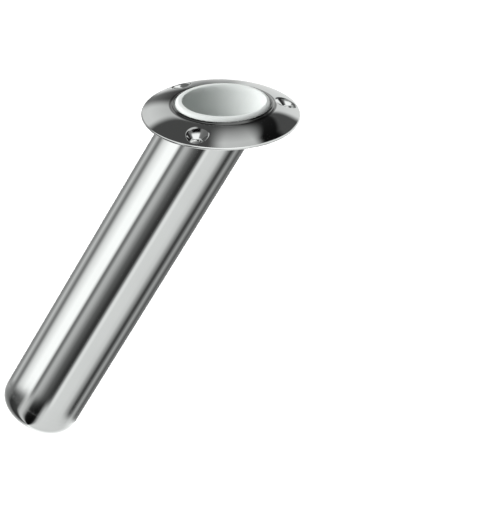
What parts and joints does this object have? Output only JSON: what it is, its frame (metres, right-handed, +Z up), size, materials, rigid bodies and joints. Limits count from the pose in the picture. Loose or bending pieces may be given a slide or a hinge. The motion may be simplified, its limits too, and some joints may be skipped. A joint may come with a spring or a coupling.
{
  "type": "rod holder",
  "caption": "Flush-mount fishing rod holder: a domed polished deck flange with a closed tube that leans 30 degrees and a pale liner with a rounded lip.",
  "frame": {"origin": "centre of the screw-hole circle on the flange's underside, which lies on the deck", "axes": "+Z up out of the deck; the tube leans towards -X on its way down; the XZ plane is the plane of symmetry"},
  "size_m": [0.1878, 0.094, 0.2252],
  "materials": {
    "polished_steel": "polished",
    "weld_metal": "satin",
    "liner_pvc": "satin"
  },
  "bodies": {
    "root": {"flange": "polished_steel", "flange_weld": "weld_metal", "tube": "polished_steel", "gimbal_pin": "polished_steel", "pin_welds": "polished_steel", "cap_weld": "polished_steel", "end_cap": "polished_steel", "liner": "liner_pvc"}
  },
  "joints": []
}
